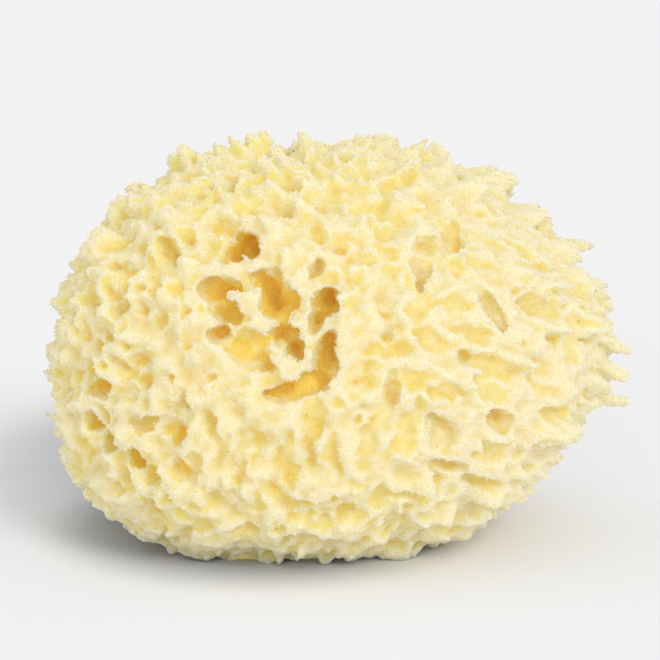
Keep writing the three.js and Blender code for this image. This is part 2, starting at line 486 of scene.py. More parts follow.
# Some pits are deep and some shallow, and their floors sink away from the coast.
depth_cloud = s.noise(s.vector("ADD", place, DEPTH_SHIFT), DEPTH_PATCH)
pit_depth = s.fade(depth_cloud, *DEPTH_CLOUD, SHALLOW_PIT, DEEP_PIT)
floor_fall = s.fade(coast, *FLOOR_FALL)
lower = s.fade(up, LOWER_FROM, LOWER_TO)
top = s.fade(up, TOP_FROM, TOP_TO)
flatter = s.less(1.0, s.plus(s.times(calm, CALM_FILL), s.times(top, TOP_FILL)))
flatter = s.less(flatter, s.plus(s.times(combed, COMBED_FILL), s.times(lower, LOWER_FILL)))
pits = s.times(s.less(1.0, crest), pit_depth, floor_fall, flatter, -1.0)
hole = s.fade(s.cells(s.vector("ADD", drawn, HOLE_SHIFT), HOLE_SPACING), *HOLE_ROUND)
hole_where = s.fade(s.noise(s.vector("ADD", place, HOLE_PATCH_SHIFT), HOLE_PATCH), *HOLE_CLOUD)
holes = s.times(hole, hole_where, -HOLE_DEPTH)
dent_where = s.fade(s.noise(s.vector("ADD", place, DENT_SHIFT), DENT_PATCH), *DENT_CLOUD)
dents = s.times(dent_where, s.less(1.0, combed), s.less(1.0, calm), -DENT_DEPTH)


def by_crest(strength):
    """The strength of a feature, from pit to crest."""
    in_pit, on_crest = strength
    return s.plus(in_pit, s.times(crest, on_crest))


# Tufts are low on the left, higher on top, and highest where they are combed.
cone = s.fade(s.cells(s.vector("ADD", drawn, CONE_SHIFT), TUFT_SPACING), *CONE_ROUND)
taller = s.plus(s.times(top, TOP_TUFT_EXTRA), s.times(combed, COMBED_TUFT_EXTRA))
tall = s.plus(TUFT_HEIGHT, taller, s.times(lower, -LOWER_TUFT_LESS))
luck = s.fade(s.noise(place, LUCK_PATCH), *LUCK_CLOUD, LEAST_LUCK, MOST_LUCK)
tufts = s.times(cone, tall, luck, by_crest(TUFT_STRENGTH))
swell = s.times(crest, s.fade(s.noise(place, SWELL_SIZE), *SWELL_CLOUD, LEAST_SWELL, MOST_SWELL))

# Torn edges: small teeth, strongest on crests.
tooth = s.cells(s.vector("ADD", place, s.wobble(place, TOOTH_SHAKE, TOOTH_REACH)), TOOTH_SPACING)
torn_share = s.less(1.0, s.times(combed, COMBED_TEETH_LESS))
teeth = s.times(s.less(0.5, tooth), by_crest(TOOTH_STRENGTH), torn_share)
fibre_cloud = s.less(s.noise(drawn, FIBRE_SIZE, FINE_DETAIL, rough=FINE_ROUGH), 0.5)
fibre = s.times(fibre_cloud, s.plus(FIBRE_STRENGTH, combed))
grain_cloud = s.less(s.noise(place, GRAIN_SIZE, FINE_DETAIL, rough=FINE_ROUGH), 0.5)
grain = s.times(grain_cloud, by_crest(GRAIN_STRENGTH))

height = s.plus(pits, holes, dents, tufts, swell, teeth, fibre, grain)
straight = s.scaled(outwards, height)
lean = s.vector("ADD", s.scaled(SIDE_LEAN, s.less(1.0, combed)), s.scaled(COMB_LEAN, combed))
# Only the part of the lean that runs along the skin counts, or tufts at the ends would turn to spikes.
against = s.vector("DOT_PRODUCT", lean, outwards, "Value")
lean = s.vector("SUBTRACT", lean, s.scaled(outwards, s.times(against, ALONG_SKIN)))
leaning = s.plus(s.times(pits, PIT_LEAN), tufts, s.times(swell, SWELL_LEAN), s.times(teeth, TOOTH_LEAN))
offset = s.vector("ADD", straight, s.scaled(lean, leaning))
rested = s.stored(skin_in, "rest", place, "FLOAT_VECTOR")
moved = s.node("GeometryNodeSetPosition", {"Geometry": rested, "Offset": s.scaled(offset, MM)})
shape_with(body, skin_sheet, moved)
tufted = points_of(body)
skin_map = body.copy()
skin_map.data = body.data.copy()
bpy.context.scene.collection.objects.link(skin_map)
print("With its tufts it measures, in mm:", (tufted.max(0) - tufted.min(0)).round(1))

# %% [markdown]
# ## The longest tufts
#
# A few tufts at the combed end stand well clear of the others. They are too few and too long for the
# field above, so each is a blunt cone, set one by one and bent a little. The next voxel remesh melts them
# into the body.

# %% The longest tufts
# Each has its tip, the way in which it points, its length and its width at the root, in mm.
LONG_TUFTS = [
    ((65.0, -6.0, 43.6), (0.90, -0.05, -0.44), 17.0, 6.0),
    ((63.6, -10.0, 38.5), (0.92, -0.10, -0.38), 14.0, 5.2),
    ((65.0, -2.0, 30.8), (0.95, -0.05, -0.28), 20.0, 6.4),
    ((60.5, 4.0, 55.0), (0.93, 0.05, -0.10), 9.0, 3.6),
    ((62.5, 16.0, 38.0), (0.88, 0.30, -0.32), 13.0, 4.4),
    ((57.0, 24.0, 28.0), (0.82, 0.42, -0.38), 13.0, 4.4),
    ((-62.5, -12.0, 40.5), (-0.90, -0.10, 0.30), 6.0, 3.2),
    ((-63.0, -6.0, 29.0), (-0.90, -0.10, 0.30), 6.0, 3.2),
]
TUFT_SIDES = 12
TUFT_RINGS = 4
TUFT_ROOT_TIP = 0.36
TUFT_WAVE = 0.12
WAVE_RATE = np.array([1.1, 1.7, 1.3])
WAVE_WAY = (0.3, 0.6, 0.7)
WAVE_STARTS = (0, 6)
CHANCE_SEED = 5

chance = np.random.default_rng(CHANCE_SEED)


def grow_tufts(piece, wanted):
    """Joins a bent, blunt cone to the piece for each tip, way, length and width."""
    grown = []
    for tip, way, length, wide in wanted:
        point_way = Vector(way).normalized()
        middle = Vector(tip) - point_way * length / 2
        deselect_all()
        bpy.ops.mesh.primitive_cone_add(
            vertices=TUFT_SIDES,
            radius1=wide / 2 * MM,
            radius2=wide / 2 * TUFT_ROOT_TIP * MM,
            depth=length * MM,
            location=middle * MM,
            rotation=point_way.to_track_quat("Z", "Y").to_euler(),
        )
        tuft = bpy.context.object
        bpy.ops.object.mode_set(mode="EDIT")
        bpy.ops.mesh.select_all(action="SELECT")
        bpy.ops.mesh.subdivide(number_cuts=TUFT_RINGS)
        bpy.ops.object.mode_set(mode="OBJECT")
        bpy.ops.object.transform_apply(location=True, rotation=True, scale=True)
        points = points_of(tuft)
        wave = TUFT_WAVE * wide * np.sin(points @ WAVE_RATE + chance.uniform(*WAVE_STARTS))
        points += np.outer(wave, WAVE_WAY)
        move_points(tuft, points)
        grown.append(tuft)
    deselect_all()
    for tuft in grown:
        tuft.select_set(True)
    piece.select_set(True)
    bpy.context.view_layer.objects.active = piece
    bpy.ops.object.join()


grow_tufts(body, LONG_TUFTS)

# %% [markdown]
# ## The true size and the flat cut
#
# The tips of the tufts must just touch the sides of the frame, so the body is scaled a little to fit
# it. Whatever lies under the floor is what was left on the rock, and it is pressed flat at height
# zero. A voxel remesh then joins the long tufts and mends the places where the leaning skin ran
# through itself. A copy of the bare mass is fitted in the same way: later on, how far a point lies
# under it says how deep in the sponge it is.

# %% The true size and the flat cut
SKIN_VOXEL = 0.42


def fit_to_frame(points, low, high):
    """Scales to the frame's sides and top. The underside is left for the cut."""
    middle = (low + high) / 2
    middle[2] = 0.0
    share = np.array(cad_size) / MM / (high - low)
    share[2] = cad_high.z / MM / high[2]
    print("Fitted to the frame by", share.round(3))
    return (points - middle) * share


points = points_of(body)
low = points.min(0)
high = points.max(0)
print("Before the fit it spans, in mm:", low.round(1), high.round(1))
for copied in (hull, skin_map):
    move_points(copied, fit_to_frame(points_of(copied), low, high))
points = fit_to_frame(points, low, high)
points[:, 2] = np.maximum(points[:, 2], 0.0)
move_points(body, points)
finish_with(body, "REMESH", mode="VOXEL", voxel_size=SKIN_VOXEL * MM)

# %% [markdown]
# ## The canals
#
# Water leaves a living sponge through a few wide canals. In a dried one they are deep golden holes
# with pale near walls and torn rims. Each is cut with a lumpy ball that is stretched along the canal,
# and where a mouth isn't round, two or three balls run into each other. The balls are placed by where
# a line straight back from the front meets the mass. They are all joined and remeshed into one
# cutter, because a boolean is surest with a single clean solid, and its skin is then bitten into small
# notches, so that it leaves torn rims. Small spurs are grown into two of the holes afterwards.

# %% The canals
# Each has its place across and up, its width and height at the mouth, its turn in degrees and its
# depth.
FRONT_CANALS = [
    (-20.2, 69.2, 8.0, 7.8, 0, 12),
    (-14.2, 61.0, 6.6, 11.4, 10, 9),
    (-11.8, 58.8, 8.4, 7.4, -25, 9),
    (-23.8, 61.0, 9.4, 5.8, -12, 8),
    (-22.4, 57.8, 5.6, 8.0, 30, 8),
    (-4.4, 65.2, 2.6, 4.8, -35, 4),
    (-2.4, 59.0, 5.4, 6.2, -10, 9),
    (-4.4, 55.6, 3.2, 5.6, -30, 8),
    (-24.0, 52.7, 5.0, 3.8, 0, 6),
    (-11.0, 53.0, 6.4, 4.6, 10, 9),
    (-8.8, 50.0, 4.2, 5.4, 25, 9),
    (-18.6, 50.4, 9.0, 6.4, 10, 5),
    (-16.4, 47.4, 8.4, 5.0, -10, 5),
    (-2.4, 48.6, 5.0, 10.6, -6, 8),
    (-9.8, 41.4, 11.4, 4.2, 6, 7),
    (-4.8, 43.4, 6.4, 5.6, 30, 7),
    (24.1, 70.2, 5.0, 9.4, -4, 4),
    (19.4, 68.6, 9.6, 4.6, -6, 3.4),
    (17.2, 64.4, 4.4, 8.4, -14, 3),
    (31.1, 56.9, 4.4, 13.0, 32, 2.2),
    (40.8, 55.7, 9.0, 4.4, -14, 2.8),
    (21.0, 32.0, 6.6, 9.0, 24, 4),
    (22.5, 24.6, 9.0, 3.4, -12, 3),
    (33.0, 34.2, 8.0, 4.6, -30, 2.8),
    (10.7, 41.8, 4.0, 9.0, -8, 2.6),
    (-33.1, 30.7, 4.6, 5.6, 0, 5),
    (-42.2, 24.8, 4.8, 6.2, 10, 7),
    (-47.9, 28.2, 4.8, 6.0, 0, 7),
    (-51.6, 31.6, 4.4, 5.4, 0, 6),
    (-49.9, 39.2, 7.4, 4.8, 14, 6),
    (-34.8, 68.1, 4.8, 8.4, 30, 4),
    (-45.2, 56.7, 4.8, 5.0, 0, 4),
    (-40.5, 33.0, 9.0, 4.4, 12, 4),
    (9.8, 51.9, 2.8, 3.2, 0, 4),
    (25.9, 47.4, 3.8, 2.8, 0, 2.6),
]

# On the other sides, each has its direction from the heart, its width and its depth.
OTHER_CANALS = [
    ((-0.5, 0.9, 0.4), 8, 12),
    ((-0.35, 0.9, 0.55), 6, 9),
    ((-0.62, 0.8, 0.2), 5, 8),
    ((0.3, 0.9, 0.1), 6, 9),
    ((0.6, 0.7, -0.3), 5, 7),
    ((0.1, 0.8, -0.5), 5, 7),
    ((0.85, 0.3, 0.35), 6, 9),
    ((-0.9, 0.25, 0.2), 5, 7),
    ((0.2, 0.3, 0.9), 7, 9),
    ((-0.25, -0.1, 1.0), 5, 7),
    ((0.55, -0.1, 0.8), 5, 7),
]
# Small spurs hang into two of the canals.
SPURS = [
    ((-19.6, -41.5, 68.0), (-0.75, 0.05, 0.60), 4.4, 1.6),
    ((-22.0, -46.0, 60.2), (-0.98, -0.05, 0.05), 6.4, 3.4),
]
CANAL_BEND = Vector((0.16, 0.6, 0.0))
CANAL_LEAN = 0.4
MOUTH_RISE = 10.0
CUTTER_VOXEL = 0.45
RIM_SHAKE = 1.2
RIM_LUMP = 3.5
RIM_NOTCH = 1.7
NOTCH_EDGE = 0.45
RIM_BITE = 0.9
RIM_BULGE = 1.6
BALL_SUBDIVISIONS = 4
BROAD_LUMP = 0.14
SMALL_LUMP = 0.10
# How fast the sines run. The rates don't fit each other, so no two sides of a ball are alike.
BROAD_RATES = (3.1, 2.7)
SMALL_RATES = (5, 4)
# Farther from the heart than any part of the sponge.
WELL_OUTSIDE = 0.2
UP = Vector((0.0, 0.0, 1.0))
HEART = Vector((0.0, 0.0, HEART_HEIGHT)) * MM

skin = BVHTree.FromObject(hull, bpy.context.evaluated_depsgraph_get())


def lumpy_ball():
    """A ball of radius 1 with soft dents and lumps, never the same twice."""
    deselect_all()
    bpy.ops.mesh.primitive_ico_sphere_add(subdivisions=BALL_SUBDIVISIONS, radius=1.0)
    ball = bpy.context.object
    round_points = points_of(ball) * MM
    x, y, z = round_points.T
    shifts = chance.uniform(0, 2 * math.pi, 3)
    across_wave = np.sin(BROAD_RATES[0] * x + shifts[0])
    up_wave = np.sin(BROAD_RATES[1] * y + shifts[1])
    lumps = 1 + BROAD_LUMP * across_wave * up_wave
    lumps += SMALL_LUMP * np.sin(SMALL_RATES[0] * z + SMALL_RATES[1] * x + shifts[2])
    return ball, round_points * lumps[:, None]


def canal_cutter(mouth, outwards, inwards, wide, tall, turn, deep):
    """A lumpy ball that is as wide and tall as the mouth and runs in along the canal."""
    ball, points = lumpy_ball()
    angle = math.radians(turn)
    wide_way = points[:, 0] * wide / 2
    tall_way = points[:, 1] * tall / 2
    across_way = wide_way * math.cos(angle) - tall_way * math.sin(angle)
    up_way = wide_way * math.sin(angle) + tall_way * math.cos(angle)
    in_way = np.where(points[:, 2] < 0, -points[:, 2] * deep, -points[:, 2] * MOUTH_RISE)
    across = UP.cross(outwards).normalized()
    up = outwards.cross(across)
    placed = np.array(mouth / MM) + np.outer(across_way, across) + np.outer(up_way, up)
    placed += np.outer(in_way, inwards)
    move_points(ball, placed)
    return ball


cutters = []
for across, up, wide, tall, turn, deep in FRONT_CANALS:
    start = Vector((across, -2 * REACH_DEEP, up)) * MM
    mouth, normal, _, _ = skin.ray_cast(start, Vector((0.0, 1.0, 0.0)))
    outwards = (normal + Vector((0.0, -1.0, 0.0))).normalized()
    inwards = (CANAL_BEND - normal * CANAL_LEAN).normalized()
    cutters.append(canal_cutter(mouth, outwards, inwards, wide, tall, turn, deep))
for towards, wide, deep in OTHER_CANALS:
    way = Vector(towards).normalized()
    mouth, normal, _, _ = skin.ray_cast(HEART + way * WELL_OUTSIDE, -way)
    cutters.append(canal_cutter(mouth, normal, -normal, wide, wide, 0, deep))

print("Balls that cut the canals:", len(cutters))
deselect_all()
for ball in cutters:
    ball.select_set(True)
bpy.context.view_layer.objects.active = cutters[0]
bpy.ops.object.join()
cutter = bpy.context.object
finish_with(cutter, "REMESH", mode="VOXEL", voxel_size=CUTTER_VOXEL * MM)

torn, cutter_shape = shape_sheet("torn rims")
place = torn.scaled(torn.node("GeometryNodeInputPosition"), 1 / MM)
notch = torn.cells(torn.vector("ADD", place, torn.wobble(place, RIM_SHAKE, RIM_SHAKE)), RIM_NOTCH)
bite = torn.times(torn.less(notch, NOTCH_EDGE), RIM_BITE)
bulge = torn.times(torn.less(torn.noise(place, RIM_LUMP), 0.5), RIM_BULGE)
push = torn.scaled(torn.node("GeometryNodeInputNormal"), torn.times(torn.plus(bite, bulge), MM))
bitten = torn.node("GeometryNodeSetPosition", {"Geometry": cutter_shape, "Offset": push})
shape_with(cutter, torn, bitten)
finish_with(body, "BOOLEAN", operation="DIFFERENCE", object=cutter, solver="MANIFOLD")
bpy.data.objects.remove(cutter)
grow_tufts(body, SPURS)

# %% [markdown]
# ## One clean body
#
# A last voxel remesh gives even faces from rim to rim and one closed body. Crumbs that the torn
# edges cast off are deleted. Then Decimate thins the mesh to what a piece may have. A vertex group
# tells it where points can best be spared: mostly behind, where there are no fine canal rims to keep.

# %% One clean body
TRIANGLES = 196000
SPARE_BEHIND = 2e-6
SPARE_FROM = -10.0
SPARE_OVER = 30.0
SPARE_STEPS = (0.05, 0.25, 0.5, 0.75, 1.0)
SPARE_STEP = 0.25


def keep_largest(piece):
    """Deletes every loose part but the one with the most points."""
    sheet, shape = shape_sheet("islands")
    number = sheet.node("GeometryNodeInputMeshIsland", out="Island Index")
    shape_with(piece, sheet, sheet.stored(shape, "island", number, "INT"))
    island = np.empty(len(piece.data.vertices), dtype=np.int32)
    piece.data.attributes["island"].data.foreach_get("value", island)
    main = int(np.bincount(island).argmax())
    sheet, shape = shape_sheet("crumbs")
    both = {"A": sheet.read("island", "INT"), "B": main}
    differ = {"data_type": "INT", "operation": "NOT_EQUAL"}
    crumb = sheet.node("FunctionNodeCompare", both, "Result", **differ)
    picked = {"Geometry": shape, "Selection": crumb}
    cleaned = sheet.node("GeometryNodeDeleteGeometry", picked, domain="POINT")
    cleaned = sheet.node("GeometryNodeRemoveAttribute", {"Geometry": cleaned, "Name": "island"})
    shape_with(piece, sheet, cleaned)
    print("Crumbs deleted, in points:", int((island != main).sum()))


finish_with(body, "REMESH", mode="VOXEL", voxel_size=SKIN_VOXEL * MM)
keep_largest(body)
points = points_of(body)
spare = body.vertex_groups.new(name="spare")
behind = smooth_step((points[:, 1] - SPARE_FROM) / SPARE_OVER)
for share in SPARE_STEPS:
    chosen = np.flatnonzero((behind > share - SPARE_STEP) & (behind <= share))
    spare.add(chosen.tolist(), share, "REPLACE")
finish_with(
    body,
    "DECIMATE",
    ratio=TRIANGLES / triangles_of(body),
    vertex_group="spare",
    vertex_group_factor=SPARE_BEHIND,
)
body.vertex_groups.clear()
in_front = int((points_of(body)[:, 1] < 0).sum())
print("Points in front:", in_front, "of", len(body.data.vertices))
print("The body has", triangles_of(body), "triangles")

# %% [markdown]
# ## Marks for the colour
#
# The colour of the sponge follows its shape: crests are paler, pits are yellower, and canals are golden.
# Part of this is the sponge's own colour, which is darker deep inside. Part is painted light and shade:
# pits and hollows get painted shade, sharp crests are painted paler where light catches them, and the
# canals get a painted golden glow for the light that bounces inside them and shines through their thin
# walls. Three numbers are stored on every point. `depth` is how far under the uncut mass the point lies.
# `hollow` is how far it sits inside the pit around it, and `crest` how sharply it stands out. The last
# two compare the point with a blurred copy of its surroundings. `rest`, the place on the bare mass, is
# looked up again on the copy that was kept from before the remesh.

# %% Marks for the colour
HOLLOW_BLUR = 22
CREST_BLUR = 2

marks, marks_in = shape_sheet("marks")
place = marks.node("GeometryNodeInputPosition")
outwards = marks.node("GeometryNodeInputNormal")
hull_shape = marks.node("GeometryNodeObjectInfo", {"Object": hull}, "Geometry")
near = marks.node("GeometryNodeProximity", {0: hull_shape}, "Position", target_element="FACES")
away = marks.vector("SUBTRACT", place, near)
from_heart = marks.vector("SUBTRACT", place, tuple(HEART))
outside = marks.maths("SIGN", marks.vector("DOT_PRODUCT", away, from_heart, "Value"))
depth = marks.times(marks.vector("LENGTH", away, out="Value"), outside, -1 / MM)


def stands_out(times):
    """How far a point stands out of its blurred surroundings, in mm."""
    inputs = {"Value": place, "Iterations": times}
    blurred = marks.node("GeometryNodeBlurAttribute", inputs, "Value", data_type="FLOAT_VECTOR")
    apart = marks.vector("SUBTRACT", place, blurred)
    return marks.times(marks.vector("DOT_PRODUCT", apart, outwards, "Value"), 1 / MM)


map_shape = marks.node("GeometryNodeObjectInfo", {"Object": skin_map}, "Geometry")
looked_up = {"Mesh": map_shape, "Value": marks.read("rest", "FLOAT_VECTOR")}
rest = marks.node("GeometryNodeSampleNearestSurface", looked_up, "Value", data_type="FLOAT_VECTOR")
marked = marks.stored(marks_in, "rest", rest, "FLOAT_VECTOR")
for name, value in (
    ("depth", depth),
    ("hollow", marks.times(stands_out(HOLLOW_BLUR), -1.0)),
    ("crest", stands_out(CREST_BLUR)),
):
    marked = marks.stored(marked, name, value)
shape_with(body, marks, marked)
bpy.data.objects.remove(hull)
bpy.data.objects.remove(skin_map)

for name in ("depth", "hollow", "crest"):
    values = np.empty(len(body.data.vertices))
    body.data.attributes[name].data.foreach_get("value", values)
    print("On most of the sponge,", name, "is", values.mean().round(2), "give or take", values.std().round(2))

# %% [markdown]
# ## Frays
#
# Where skin is torn, the ends of the fibres stand up as tiny soft teeth, along crests and around the
# canals. They are scattered by Geometry Nodes, one small cone each, thickest where `crest` is high,
# and combed over on the right. The instances are realized, so they are a real mesh. They take the
# shading normal of the skin they stand on: lit each for itself, thousands of tiny cones would sparkle
# like sand, and a fray is as soft as what it grows from.

# %% Frays
FRAY_RADIUS = 0.24
FRAY_LENGTH = 0.66
FRAY_SUNK = 0.15
FRAYS_PER_M2 = 9.0e6
FRAY_SEED = 4
LUCK_SEED = 7
FRAY_SHAKE = 0.55
FRAY_THIN = 0.6
# The frays' mesh starts as a small plane, which the tree replaces.
PLANE_SIZE = 10.0
# The least share of its size that a fray has, and how much more luck can give it.
LEAST_WIDE = 0.7
MORE_WIDE = 0.8
LEAST_LONG = 0.5
MORE_LONG = 0.8
# Where frays start and where they are thickest: by height, by `crest` and by `depth`.
FRAYS_OFF_FLOOR = (8.0 * MM, 22.0 * MM)
FRAYS_ON_CREST = (0.09, 0.34)
FRAYS_NOT_DEEP = (6.0, 3.0)

deselect_all()
bpy.ops.mesh.primitive_cone_add(
    vertices=3,
    radius1=FRAY_RADIUS * MM,
    radius2=0.0,
    depth=FRAY_LENGTH * MM,
    end_fill_type="NGON",
    location=(0.0, 0.0, (FRAY_LENGTH / 2 - FRAY_SUNK) * MM),
)
fray = bpy.context.object
bpy.ops.object.transform_apply(location=True, rotation=True, scale=True)

frays_sheet, _ = shape_sheet("frays")
s = frays_sheet
skin_shape = s.node("GeometryNodeObjectInfo", {"Object": body}, "Geometry")
place = s.node("GeometryNodeInputPosition")
off_floor = s.fade(s.node("ShaderNodeSeparateXYZ", {0: place}, "Z"), *FRAYS_OFF_FLOOR)
on_crest = s.fade(s.read("crest"), *FRAYS_ON_CREST)
not_deep = s.fade(s.read("depth"), *FRAYS_NOT_DEEP)
density = s.times(on_crest, not_deep, off_floor, FRAYS_PER_M2)
scattered = {"Mesh": skin_shape, "Density": density, "Seed": FRAY_SEED}
spots = s.node("GeometryNodeDistributePointsOnFaces", scattered, "Points", distribute_method="RANDOM")
# A socket knows its node, and the same node also gives the way out of the skin.
skin_out = spots.node.outputs["Normal"]
combed = s.fade(s.node("ShaderNodeSeparateXYZ", {0: place}, "X"), COMB_FROM * MM, COMB_TO * MM)
ends = {"Min": (-1.0, -1.0, -1.0), "Max": (1.0, 1.0, 1.0)}
shake = s.node("FunctionNodeRandomValue", ends, "Value", data_type="FLOAT_VECTOR")
way = s.vector("ADD", skin_out, s.scaled(shake, FRAY_SHAKE))
way = s.vector("ADD", way, s.scaled(COMB, combed))
turned = s.node("FunctionNodeAlignRotationToVector", {"Vector": way}, axis="Z")
luck = s.node("FunctionNodeRandomValue", {"Seed": LUCK_SEED}, "Value", data_type="FLOAT")
fray_wide = s.plus(LEAST_WIDE, s.times(luck, MORE_WIDE))
fray_long = s.plus(LEAST_LONG, s.times(luck, luck, MORE_LONG))
fray_size = s.node("ShaderNodeCombineXYZ", {0: fray_wide, 1: FRAY_THIN, 2: fray_long})
skin_way = s.stored(spots, "skin_way", skin_out, "FLOAT_VECTOR")
standing = s.node(
    "GeometryNodeInstanceOnPoints",
    {
        "Points": skin_way,
        "Instance": s.node("GeometryNodeObjectInfo", {"Object": fray}, "Geometry"),
        "Rotation": turned,
        "Scale": fray_size,
    },
)
real = s.node("GeometryNodeRealizeInstances", {"Geometry": standing})
lit_like_skin = {"Mesh": real, "Custom Normal": s.read("skin_way", "FLOAT_VECTOR")}
soft_lit = s.node("GeometryNodeSetMeshNormal", lit_like_skin, mode="FREE", domain="POINT")
deselect_all()
bpy.ops.mesh.primitive_plane_add(size=PLANE_SIZE * MM)
frays = bpy.context.object
frays.name = "sponge_frays"
shape_with(frays, frays_sheet, soft_lit)
bpy.data.objects.remove(fray)
print("The frays have", triangles_of(frays), "triangles")

# %% [markdown]
# ## Sponge fibre
#
# Dried sponge is matte, and light sinks a few millimetres into it before it comes out again. That
# gives the soft glow in the pits, so the material has strong subsurface scattering and almost no
# gloss. Its colour is one number, the tone, sent through a ramp from pale cream to gold. The tone
# grows with `depth` and `hollow` and falls on a crest: partly the sponge's own colour, and partly
# painted shade in pits and hollows, painted light on crests and a painted golden glow in the canals.
# It is also mottled a little, as the fibre itself is. A fine bump stands for the pores that are smaller
# than the mesh can hold, and a few pin pores are painted brown, a painted shade for their dark insides.
# Frays are painted a little yellower, a painted shade that evens them with the glowing skin.

# %% Sponge fibre
TONES = [
    (0.00, (0.812, 0.722, 0.492)),
    (0.18, (0.818, 0.711, 0.400)),
    (0.36, (0.835, 0.715, 0.315)),
    (0.52, (0.855, 0.712, 0.245)),
    (0.72, (0.910, 0.715, 0.185)),
    (1.00, (0.950, 0.715, 0.155)),
]
# Pin pores are painted brown, a painted shade for the dark inside of each pore.
PIN_SHADE_COLOUR = (0.80, 0.55, 0.20, 1.0)
GLOW = 0.85
GLOW_DEPTH = 7.0
GLOW_REACH = (1.0, 0.88, 0.42)
MATTE = 0.95
GLOSS = 0.08
BUMP_STRENGTH = 0.85
BUMP_HEIGHT = 0.6

# What makes up the tone. A pit starts higher than a crest, which paints shade into the pits, and combed
# parts are paler. Hollows get more painted shade and sharp crests painted light, while deep canals get
# their own gold together with a painted glow.
PIT_SHADE_TONE = 0.34
CREST_TONE = 0.18
COMBED_TONE = -0.09
# Frays are painted a little yellower, a painted shade that evens them with the glowing skin.
FRAY_SHADE_TONE = 0.10
CANAL_GOLD_AND_GLOW = 0.62
CANAL_FROM = 2.5
CANAL_TO = 6.5
HOLLOW_SHADE_TONE = 0.12
SHARP_LIGHT_AND_SHADE = -0.30
# Each mottle has the size of its patches in mm, its detail, its roughness and its strength.
MOTTLES = ((1.1, 3.0, 0.65, 0.20), (5.0, 2.0, 0.5, 0.14))
PIN_SPACING = 2.6
PIN_ROUND = (0.12, 0.05)
PIN_PATCH = 4.0
PIN_CLOUD = (0.50, 0.62)
PIN_SHAKE = (3.0, 2.0)
# The bump is made of fine and middling clouds, both in mm, and of pores and pins that sink in.
FUZZ_SIZE = 0.55
FUZZ_DETAIL = 3.0
FUZZ_ROUGH = 0.7
FUZZ_SHARE = 0.5
MIDDLE_SIZE = 1.7
PORE_SPACING = 0.9
PORE_SHARE = 0.5
PIN_SHARE = 0.8


def sponge_fibre(name, glow):
    """The material of the sponge. Frays have no glow and no bump, because they are too small."""
    material = bpy.data.materials.new(name)
    material.use_nodes = True
    shader = material.node_tree.nodes["Principled BSDF"]
    s = Sheet(material.node_tree)
    place = s.scaled(s.node("ShaderNodeTexCoord", out="Object"), 1 / MM)
    depth = s.node("ShaderNodeAttribute", out="Fac", attribute_name="depth")
    hollow = s.node("ShaderNodeAttribute", out="Fac", attribute_name="hollow")
    crest = s.node("ShaderNodeAttribute", out="Fac", attribute_name="crest")
    rest = s.node("ShaderNodeAttribute", out="Vector", attribute_name="rest")
    combed, _, _, _, on_crest, _ = honeycomb(s, rest)
    # The tone: painted shade in pits and hollows, painted light on sharp crests, and gold with a painted glow
    # deep in the canals.
    tone = s.plus(
        s.fade(on_crest, 0.0, 1.0, PIT_SHADE_TONE, CREST_TONE),
        s.times(combed, COMBED_TONE),
        0.0 if glow else FRAY_SHADE_TONE,
        s.fade(depth, CANAL_FROM, CANAL_TO, 0.0, CANAL_GOLD_AND_GLOW),
        s.times(hollow, HOLLOW_SHADE_TONE),
        s.times(crest, SHARP_LIGHT_AND_SHADE),
    )
    for size, detail, rough, strong in MOTTLES:
        patches = s.less(s.noise(place, size, detail, rough=rough), 0.5)
        tone = s.plus(tone, s.times(patches, strong))
    ramp = s.node("ShaderNodeValToRGB", {"Fac": tone}, "Color").node
    elements = ramp.color_ramp.elements
    for number, (at, colour) in enumerate(TONES):
        if number in (0, len(TONES) - 1):
            element = elements[0 if number == 0 else -1]
            element.position = at
        else:
            element = elements.new(at)
        element.color = (*colour, 1.0)
    # Pin pores: painted brown as a painted shade for their dark insides, and sunk into the bump.
    pin_place = s.vector("ADD", place, s.wobble(place, *PIN_SHAKE))
    pin_where = s.fade(s.noise(place, PIN_PATCH), *PIN_CLOUD)
    pin = s.times(s.fade(s.cells(pin_place, PIN_SPACING), *PIN_ROUND), pin_where)
    spotted = s.mixed(pin, ramp.outputs["Color"], PIN_SHADE_COLOUR)
    s.tree.links.new(spotted, shader.inputs["Base Color"])
    if glow:
        fuzz = s.times(s.noise(place, FUZZ_SIZE, FUZZ_DETAIL, rough=FUZZ_ROUGH), FUZZ_SHARE)
        middling = s.noise(place, MIDDLE_SIZE, FINE_DETAIL, rough=FINE_ROUGH)
        pores = s.times(s.cells(place, PORE_SPACING), PORE_SHARE)
        relief = s.less(s.plus(fuzz, middling, pores), s.times(pin, PIN_SHARE))
        bumps = {"Height": relief, "Strength": BUMP_STRENGTH, "Distance": BUMP_HEIGHT * MM}
        s.tree.links.new(s.node("ShaderNodeBump", bumps), shader.inputs["Normal"])
    shader.inputs["Roughness"].default_value = MATTE
    shader.inputs["Specular IOR Level"].default_value = GLOSS
    shader.inputs["Subsurface Weight"].default_value = glow
    shader.inputs["Subsurface Radius"].default_value = GLOW_REACH
    shader.inputs["Subsurface Scale"].default_value = GLOW_DEPTH * MM
    return material


for piece, glow in ((body, GLOW), (frays, 0.0)):
    piece.data.materials.clear()
    piece.data.materials.append(sponge_fibre(piece.name + "_fibre", glow))
    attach(piece, "root")
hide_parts("sponge")
# Frays are too fine to throw shadows or light on the skin they stand on.
frays.visible_shadow = False
frays.visible_diffuse = False
pick(body)
bpy.ops.object.shade_smooth()

# %% [markdown]
# ## Floor and light
#
# The floor is paper and the room is plain white, so that nothing colours the sponge. Close to the
# sponge the paper has a painted contact shadow, cool and dark, and a little farther out a faint painted
# cool tint; both take up the yellow light that the sponge throws down. Behind on the left the paper also
# has a broad painted grey shade, which deepens the soft shadow that a wide key light from the right draws
# there. A second, level light from the front left lifts the pits without washing out the floor's
# shadow, because it only grazes the floor.

